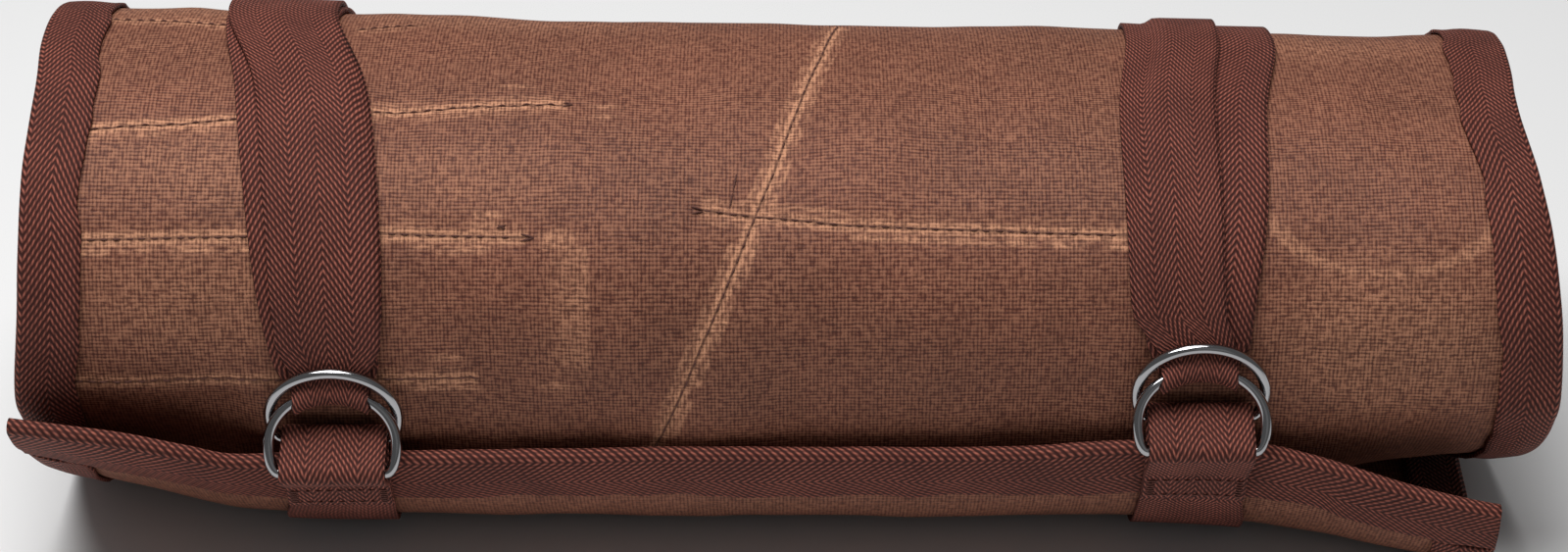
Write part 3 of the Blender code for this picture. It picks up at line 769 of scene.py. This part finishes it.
def strap_line(runs, spread_tail, front_ring, back_ring, lateral):
    """One lengthwise line of a strap, from the sewn hem through both rings to the tail's end."""
    half = WEBBING_WIDTH / 2 * lateral
    scale = SHEET_WIDTH / 2

    def in_section(x, spots):
        return [np.array((x + AXIS_X, AXIS_Y - out, AXIS_HEIGHT + up)) for out, up in spots]

    tab_x = runs.read("under", 0.0) * scale + half * TAB_SPREAD
    hem_turns = np.linspace(HEM, HEM * 0.3, 6) / PATH
    hem = list(lifted(hem_turns, tab_x, BOUND_STRAP_LIFT + LAYER))
    tape_end = (TAPE_WIDTH + 2.0 * GAP) / PATH
    base_turns = np.linspace(-(TAPE + 4.0 * GAP) / PATH, tape_end, 10)
    base = list(lifted(base_turns, tab_x, BOUND_STRAP_LIFT))
    line = hem + in_section(tab_x, loop_round_bars(front_ring, back_ring, tab_x, base[0], hem[-1])) + base
    under_end = front_turn(back_ring.x, back_ring.top() + WIRES_ABOVE * WIRE)
    under_turns = np.linspace(1.6 / 24, under_end, 190)
    gather = np.clip((under_turns - under_end + 0.10) / 0.10, 0.0, 1.0) ** 2
    narrow = 1.0 - (1.0 - WRAP_SPREAD) * 0.25 * gather
    under_x = runs.read("under", under_turns) * scale + half * narrow
    under = list(lifted(under_turns, under_x, STRAP_LIFT))
    tail_start = front_turn(front_ring.x, front_ring.top() + WIRES_ABOVE * WIRE)
    tail_turns = np.linspace(tail_start, TAIL_END, 110)
    gather = np.clip((tail_turns - tail_start + 0.12) / 0.12, 0.0, 1.0) ** 2
    narrow = spread_tail - (spread_tail - WRAP_SPREAD) * 0.25 * gather
    tail_x = runs.read("tail", tail_turns) * scale + half * narrow
    under_left = runs.read("under", tail_turns) * scale - WEBBING_WIDTH / 2
    beside = np.maximum(under_left - tail_x, tail_x - under_left - WEBBING_WIDTH)
    tail_lift = STRAP_LIFT + LAYER * (1.0 - smooth((beside - 0.0004) / 0.0030))
    tail = list(lifted(tail_turns, tail_x, tail_lift))
    wrap_x = runs.read("under", 0.95) * scale + half * WRAP_SPREAD
    wrap = in_section(wrap_x, wrap_through_rings(front_ring, back_ring, wrap_x, under[-1], tail[0]))
    return np.array(line + under + wrap + tail)


def make_strap(name, runs, rise, spread_tail, webbing, chrome):
    """A strap and its two rings."""
    x = runs.read("under", 0.0) * SHEET_WIDTH / 2
    lip = middle(0.0, x)
    out, up = section_spot(lip)
    front = Ring(x, out + FRONT_BAR_OUT, up + rise + FRONT_BAR_UP, STRAP_LIFT + LAYER + WIRE_LIFT)
    back = Ring(x, out + BACK_BAR_OUT, up + rise + BACK_BAR_UP, STRAP_LIFT + WIRE_LIFT)
    name_start = "d_ring_" + name
    rings = [front.build(name_start + "_front", chrome), back.build(name_start + "_back", chrome)]
    laterals = np.linspace(-1.0, 1.0, 15)
    lines = [strap_line(runs, spread_tail, front, back, lateral) for lateral in laterals]
    points = np.stack(lines, axis=1)
    length = np.concatenate(([0.0], np.cumsum(np.linalg.norm(np.diff(points[:, 7], axis=0), axis=1))))
    flat = np.stack(np.broadcast_arrays((laterals * WEBBING_WIDTH / 2)[None, :], length[:, None]), axis=-1)
    return make_cloth("strap_" + name, points, flat, WEBBING, webbing), rings


class Number:
    """A number in a material that Python's operators work on."""

    def __init__(self, look, socket):
        self.look = look
        self.socket = socket

    def maths(self, operation, *others):
        items = dict(enumerate((self,) + others))
        return self.look.number("ShaderNodeMath", {"operation": operation}, items)

    def __add__(self, other):
        return self.maths("ADD", other)

    __radd__ = __add__

    def __mul__(self, other):
        return self.maths("MULTIPLY", other)

    __rmul__ = __mul__

    def __neg__(self):
        return self * -1.0

    def __sub__(self, other):
        return self.maths("SUBTRACT", other)

    def __rsub__(self, other):
        return -self + other

    def __truediv__(self, other):
        return self.maths("DIVIDE", other)

    def __pow__(self, other):
        return self.maths("POWER", other)

    def __abs__(self):
        return self.maths("ABSOLUTE")

    def sine(self):
        return self.maths("SINE")

    def least(self, other):
        return self.maths("MINIMUM", other)

    def most(self, other):
        return self.maths("MAXIMUM", other)

    def between(self, low, high):
        """0 below low, 1 above high, smooth between."""
        values = {"Value": self, "From Min": low, "From Max": high}
        return self.look.number("ShaderNodeMapRange", {"interpolation_type": "SMOOTHSTEP"}, values)


class Look:
    """A material being built."""

    def __init__(self, name):
        self.material = bpy.data.materials.new(name)
        self.material.use_nodes = True
        self.nodes = self.material.node_tree.nodes
        self.shader = self.nodes["Principled BSDF"]

    def node(self, kind, settings, values):
        node = self.nodes.new(kind)
        for name, value in settings.items():
            setattr(node, name, value)
        for name, value in values.items():
            self.put(node.inputs[name], value)
        return node

    def put(self, socket, value):
        if isinstance(value, Number):
            value = value.socket
        if isinstance(value, bpy.types.NodeSocket):
            self.material.node_tree.links.new(value, socket)
        else:
            socket.default_value = value

    def number(self, kind, settings, values):
        return Number(self, self.node(kind, settings, values).outputs[0])

    def cloth_place(self):
        """Across and along the flat cloth, in metres."""
        place = self.node("ShaderNodeUVMap", {"uv_map": "Cloth"}, {}).outputs[0]
        parts = self.node("ShaderNodeSeparateXYZ", {}, {"Vector": place})
        return Number(self, parts.outputs[0]), Number(self, parts.outputs[1])

    def noise(self, across, along, scale_across, scale_along, detail, shift=0.0):
        values = {"X": across * scale_across, "Y": along * scale_along, "Z": shift}
        place = self.node("ShaderNodeCombineXYZ", {}, values).outputs[0]
        return self.number("ShaderNodeTexNoise", {}, {"Vector": place, "Scale": 1.0, "Detail": detail})

    def mix(self, share, first, second):
        values = {0: share, 6: first, 7: second}
        return self.node("ShaderNodeMix", {"data_type": "RGBA"}, values).outputs[2]

    def bump(self, height, distance, strength):
        values = {"Height": height, "Distance": distance, "Strength": strength}
        return self.node("ShaderNodeBump", {}, values).outputs[0]

    def finish(self, **values):
        for name, value in values.items():
            self.put(self.shader.inputs[name.replace("_", " ")], value)
        return self.material


def seam_marks(look, across, along):
    """How rubbed the canvas is beside its seams, and where painted shade darkens their creases."""
    broken = look.noise(across, along, 110.0, 160.0, 2.0, 6.0).between(0.35, 0.60)
    rubbed = 0.0
    crease_shade = 0.0
    for seam in SEAMS:
        start_x = seam.start_x / 1000.0
        start_path = seam.start_turn * PATH
        step_x = seam.end_x / 1000.0 - start_x
        step_path = seam.end_turn * PATH - start_path
        length = math.hypot(step_x, step_path)
        step_x /= length
        step_path /= length
        run = across * step_x + along * step_path - (start_x * step_x + start_path * step_path)
        off = along * step_x - across * step_path - (start_path * step_x - start_x * step_path)
        inside = run.between(-0.0012, 0.0004) * (length - run).between(-0.0012, 0.0004)
        near = abs(off)
        ridge = (1.0 - near.between(0.0008, 0.0021)) * seam.rub
        line = 0.0
        if seam.above > 0.0:
            line = (1.0 - abs(off + 0.0026).between(0.0002, 0.0011)) * seam.above
        if seam.below > 0.0:
            line = (1.0 - abs(off - 0.0026).between(0.0002, 0.0011)) * seam.below + line
        rubbed = ((ridge + line * broken) * inside).most(rubbed)
        # Painted shade: a thin dark line along each seam's crease
        crease_shade = ((1.0 - near.between(0.0001, 0.0005)) * inside).most(crease_shade)
    return rubbed, crease_shade


def rub_marks(across, along):
    """How rubbed the canvas is in patches, and round the pressed mark."""
    dull = 0.0
    for rub in RUBS:
        far_x = abs(across - rub.x / 1000.0) / (rub.half_x / 1000.0)
        far_path = abs(along - rub.turn * PATH) / (rub.half_path / 1000.0)
        far = (far_x * far_x + far_path * far_path) ** 0.5
        dull = ((1.0 - far.between(0.25, 1.1)) * rub.strength).most(dull)
    inside = along.between(BAND.start * PATH, (BAND.start + 0.008) * PATH)
    inside = inside * (1.0 - along.between((BAND.end - 0.020) * PATH, BAND.end * PATH))
    fade = across.between((BAND.x - BAND.fade) / 1000.0, (BAND.x - 1.0) / 1000.0)
    fade = fade * (1.0 - across.between(BAND.x / 1000.0, (BAND.x + 0.9) / 1000.0))
    dull = (inside * fade * 0.36).most(dull)
    side_x = (across - PRESS.x / 1000.0) / (PRESS.half_x / 1000.0)
    side_path = (along - PRESS.turn * PATH) / (PRESS.half_path / 1000.0)
    ring = (side_x * side_x + side_path * side_path) ** 0.5
    arc = (1.0 - abs(ring - 1.06).between(0.02, 0.14)) * side_path.between(0.0, 0.5) * 0.45
    return arc.most(dull)


def canvas_look(name, brown, dark, pale, marked):
    """Woven canvas with clouds of colour and bright crowns of yarn, painted shade in the hollows of its
    weave, and its marks where it shows, with painted shade in the seam creases.
    """
    look = Look(name)
    across, along = look.cloth_place()
    cloud = look.noise(across, along, 22.0, 26.0, 5.0)
    patch = look.noise(across, along, 90.0, 130.0, 3.0, 7.0)
    grain = look.noise(across, along, 620.0, 700.0, 3.0, 4.0)
    warp = look.noise(across, along, 1500.0, 400.0, 2.0, 9.0)
    weft = look.noise(across, along, 400.0, 1500.0, 2.0, 3.0)
    color = look.mix(cloud.between(0.25, 0.75) * 0.7 + patch.between(0.3, 0.7) * 0.3, dark, brown)
    turn_across = (across * (2.0 * math.pi / YARN_PAIR) + grain * 1.2).sine()
    turn_along = (along * (2.0 * math.pi / YARN_PAIR) + grain * 1.2).sine()
    weave = abs(turn_across) * 0.30 + abs(turn_along) * 0.30 + warp * 0.75 + weft * 0.75
    crown = (weave + grain * 0.8).between(1.15, 1.85)
    worn = crown * 0.34 * (patch * 0.8 + 0.6)
    if marked:
        rubbed, crease_shade = seam_marks(look, across, along)
        spots = (warp * 0.6 + weft * 0.6 + grain * 0.6).between(0.70, 1.10)
        rubbed = rubbed * (patch.between(0.15, 0.50) * 0.5 + 0.7)
        rubbed = rubbed.most(rub_marks(across, along)) * (spots * 0.55 + 0.45)
        worn = (worn + rubbed).least(1.0)
        color = look.mix(worn, color, pale)
        # Painted shade: the seam creases are darkened in the colour, broken up by the spots
        crease_shade_color = (dark[0] * 0.30, dark[1] * 0.25, dark[2] * 0.25, 1.0)
        color = look.mix(crease_shade * (spots * 0.5 + 0.5) * 0.85, color, crease_shade_color)
    else:
        color = look.mix(worn, color, pale)
    shade = (dark[0] * 0.35, dark[1] * 0.32, dark[2] * 0.32, 1.0)
    color = look.mix((1.0 - weave.between(0.80, 1.35)) * 0.65, color, shade)
    rough = worn * 0.15 + 0.62
    bump = look.bump(weave, 0.00030, 0.7)
    return look.finish(Base_Color=color, Roughness=rough, Normal=bump, Specular_IOR_Level=0.22)


def herringbone_look(name, dark, light, column):
    """Twill that turns back at each column's edge, in dark and light yarn."""
    look = Look(name)
    across, along = look.cloth_place()
    fold = (across / column + 40.0).maths("PINGPONG", 1.0)
    slant = along + fold * column * TWILL_SLOPE
    twill = (slant * (2.0 * math.pi / TWILL_PITCH)).sine() * 0.5 + 0.5
    yarn = (across * (2.0 * math.pi / TWILL_YARN)).sine() * 0.5 + 0.5
    fluff = look.noise(across, along, 900.0, 900.0, 3.0)
    cloud = look.noise(across, along, 70.0, 70.0, 3.0, 2.0)
    share = twill * (yarn * 0.55 + 0.45) * (fluff * 0.7 + 0.5) * (cloud * 0.7 + 0.6)
    color = look.mix(share.between(0.05, 0.95), dark, light)
    height = twill * (yarn * 0.5 + 0.5) + fluff * 0.35
    bump = look.bump(height, 0.0004, 0.8)
    return look.finish(Base_Color=color, Roughness=0.75, Normal=bump, Specular_IOR_Level=0.2)


def plain_look(name, color, roughness, metallic):
    look = Look(name)
    return look.finish(Base_Color=color, Roughness=roughness, Metallic=metallic)


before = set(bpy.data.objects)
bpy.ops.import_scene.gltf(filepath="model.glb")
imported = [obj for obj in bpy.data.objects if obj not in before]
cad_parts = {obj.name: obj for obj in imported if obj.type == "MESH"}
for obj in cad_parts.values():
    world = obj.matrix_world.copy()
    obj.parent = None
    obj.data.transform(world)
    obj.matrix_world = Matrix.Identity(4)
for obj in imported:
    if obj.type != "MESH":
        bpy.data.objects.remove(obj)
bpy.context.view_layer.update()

BROWN = (0.150, 0.044, 0.027, 1.0)
BROWN_DARK = (0.094, 0.027, 0.017, 1.0)
BROWN_PALE = (0.520, 0.250, 0.145, 1.0)
canvas = canvas_look("waxed_canvas", BROWN, BROWN_DARK, BROWN_PALE, True)
INSIDE = (0.130, 0.046, 0.030, 1.0)
INSIDE_DARK = (0.078, 0.027, 0.018, 1.0)
THREAD_DARK = (0.035, 0.008, 0.006, 1.0)
TAPE_THREAD = (0.350, 0.108, 0.074, 1.0)
WEBBING_THREAD = (0.370, 0.116, 0.080, 1.0)
lining = canvas_look("canvas_inside", INSIDE, INSIDE_DARK, BROWN_PALE, False)
tape = herringbone_look("herringbone_tape", THREAD_DARK, TAPE_THREAD, TAPE_WIDTH / 2)
webbing = herringbone_look("herringbone_webbing", THREAD_DARK, WEBBING_THREAD, WEBBING_WIDTH / 4)
# Painted shade: the chrome's base colour is kept low, so the rings look dark as if they reflected dark
# surroundings
chrome = plain_look("chromed_steel", (0.36, 0.36, 0.37, 1.0), 0.10, 1.0)
thread = plain_look("stitch_thread", (0.075, 0.022, 0.014, 1.0), 0.8, 0.0)
strap_thread = plain_look("strap_stitch_thread", (0.110, 0.034, 0.024, 1.0), 0.8, 0.0)

sheet = make_canvas(canvas)
left_binding = make_side_binding("binding_left", -1, tape)
right_binding = make_side_binding("binding_right", 1, tape)
flap_binding = make_flap_binding(tape)
left_panel, right_panel = make_panels(lining)
left_strap, left_rings = make_strap("left", LEFT, 0.0, 1.0, webbing, chrome)
right_strap, right_rings = make_strap("right", RIGHT, WIRE, 0.85, webbing, chrome)

seam_threads = make_stitches("seam_stitches", seam_stitches(), CANVAS / 2, SEAM_THREAD, thread)
hem_face = BOUND_STRAP_LIFT + LAYER + WEBBING / 2
left_hem = tab_stitches(LEFT.read("under", 0.0) * SHEET_WIDTH / 2)
right_hem = tab_stitches(RIGHT.read("under", 0.0) * SHEET_WIDTH / 2)
left_threads = make_stitches("strap_stitches_left", left_hem, hem_face, HEM_THREAD, strap_thread)
right_threads = make_stitches("strap_stitches_right", right_hem, hem_face, HEM_THREAD, strap_thread)

for piece in (sheet, left_binding, right_binding, flap_binding, left_panel, right_panel, left_strap,
              right_strap, *left_rings, *right_rings):
    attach(piece, "root")
    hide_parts(piece.name.split(".")[0])
for piece in (seam_threads, left_threads, right_threads):
    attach(piece, "root")


floor_mesh = bpy.data.meshes.new("floor")
floor_mesh.from_pydata([(-4, -4, 0), (4, -4, 0), (4, 6, 0), (-4, 6, 0)], [], [(0, 1, 2, 3)])
floor_mesh.materials.append(plain_look("floor", (0.74, 0.74, 0.74, 1.0), 0.9, 0.0))
floor = bpy.data.objects.new("floor", floor_mesh)
bpy.context.scene.collection.objects.link(floor)


def add_light(name, place, size, energy):
    data = bpy.data.lights.new(name, "AREA")
    data.size = size
    data.energy = energy
    light = bpy.data.objects.new(name, data)
    light.location = place
    aim = Vector((0.0, 0.0, 0.05)) - light.location
    light.rotation_mode = "QUATERNION"
    light.rotation_quaternion = aim.to_track_quat("-Z", "Y")
    bpy.context.scene.collection.objects.link(light)


add_light("above", (-0.20, -0.20, 1.3), 0.8, 22.0)
add_light("front", (0.5, -1.4, 0.9), 1.0, 0.3)

world = bpy.data.worlds.new("studio")
world.use_nodes = True
world.node_tree.nodes["Background"].inputs["Color"].default_value = (1.0, 1.0, 1.0, 1.0)
world.node_tree.nodes["Background"].inputs["Strength"].default_value = 0.15
bpy.context.scene.world = world
bpy.context.scene.view_settings.view_transform = "Standard"

camera_data = bpy.data.cameras.new("camera")
camera_data.lens = 81.7
camera_data.sensor_width = 36.0
camera_data.shift_y = -0.0028
camera_data.clip_end = 20.0
camera = bpy.data.objects.new("camera", camera_data)
elevation = math.radians(30.0)
back = Vector((0.0, -math.cos(elevation), math.sin(elevation)))
camera.location = Vector((AXIS_X, AXIS_Y, AXIS_HEIGHT)) + back * 0.85
camera.rotation_mode = "QUATERNION"
camera.rotation_quaternion = (-back).to_track_quat("-Z", "Y")
bpy.context.scene.collection.objects.link(camera)
bpy.context.scene.camera = camera
